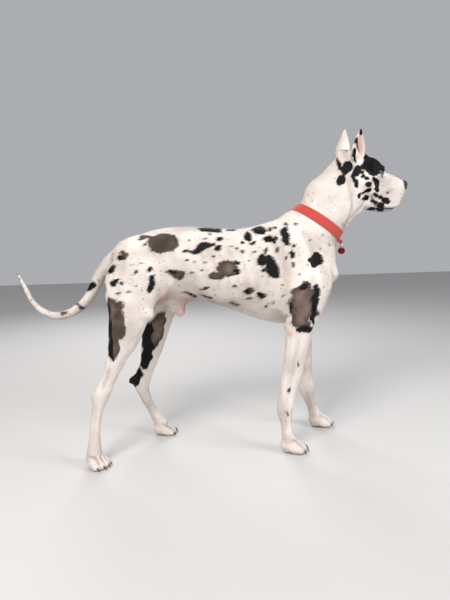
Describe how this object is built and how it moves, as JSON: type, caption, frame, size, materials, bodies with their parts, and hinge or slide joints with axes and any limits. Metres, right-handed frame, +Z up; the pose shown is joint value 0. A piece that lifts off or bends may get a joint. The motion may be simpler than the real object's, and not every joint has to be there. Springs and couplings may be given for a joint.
{
  "type": "dog model",
  "caption": "Life-size standing model of a large short-haired dog with cropped upright ears, a low swept tail, and a flat collar with a ring and blank round tags.",
  "frame": {"origin": "on the floor under the middle of the whole model's box", "axes": "+X from the tail to the head, +Y to the dog's left, +Z up; the floor is Z = 0"},
  "size_m": [1.4618, 0.3487, 1.1862],
  "materials": {
    "coat": "short flat hair, warm white with torn black, grey and brown patches, pink skin where it is thin",
    "eyes": "wet, dark brown iris",
    "nose_leather": "damp, pebbled black",
    "collar_webbing": "coral red woven nylon",
    "ring_metal": "nickel-plated wire",
    "tag_red_enamel": "dark red anodised, blank",
    "tag_brass": "plain, blank"
  },
  "bodies": {
    "root": {"collar": "collar_webbing", "collar_ring": "ring_metal", "ear_left": "coat", "ear_right": "coat", "eye_left": "eyes", "eye_right": "eyes", "fore_leg_left": "coat", "fore_leg_right": "coat", "fore_paw_left": "coat", "fore_paw_right": "coat", "head": "coat", "hind_leg_left": "coat", "hind_leg_right": "coat", "hind_paw_left": "coat", "hind_paw_right": "coat", "neck": "coat", "nose": "nose_leather", "tag_brass": "tag_brass", "tag_red": "tag_red_enamel", "tail_middle": "coat", "tail_root": "coat", "tail_tip": "coat", "thigh_left": "coat", "thigh_right": "coat", "torso": "coat"}
  },
  "joints": []
}
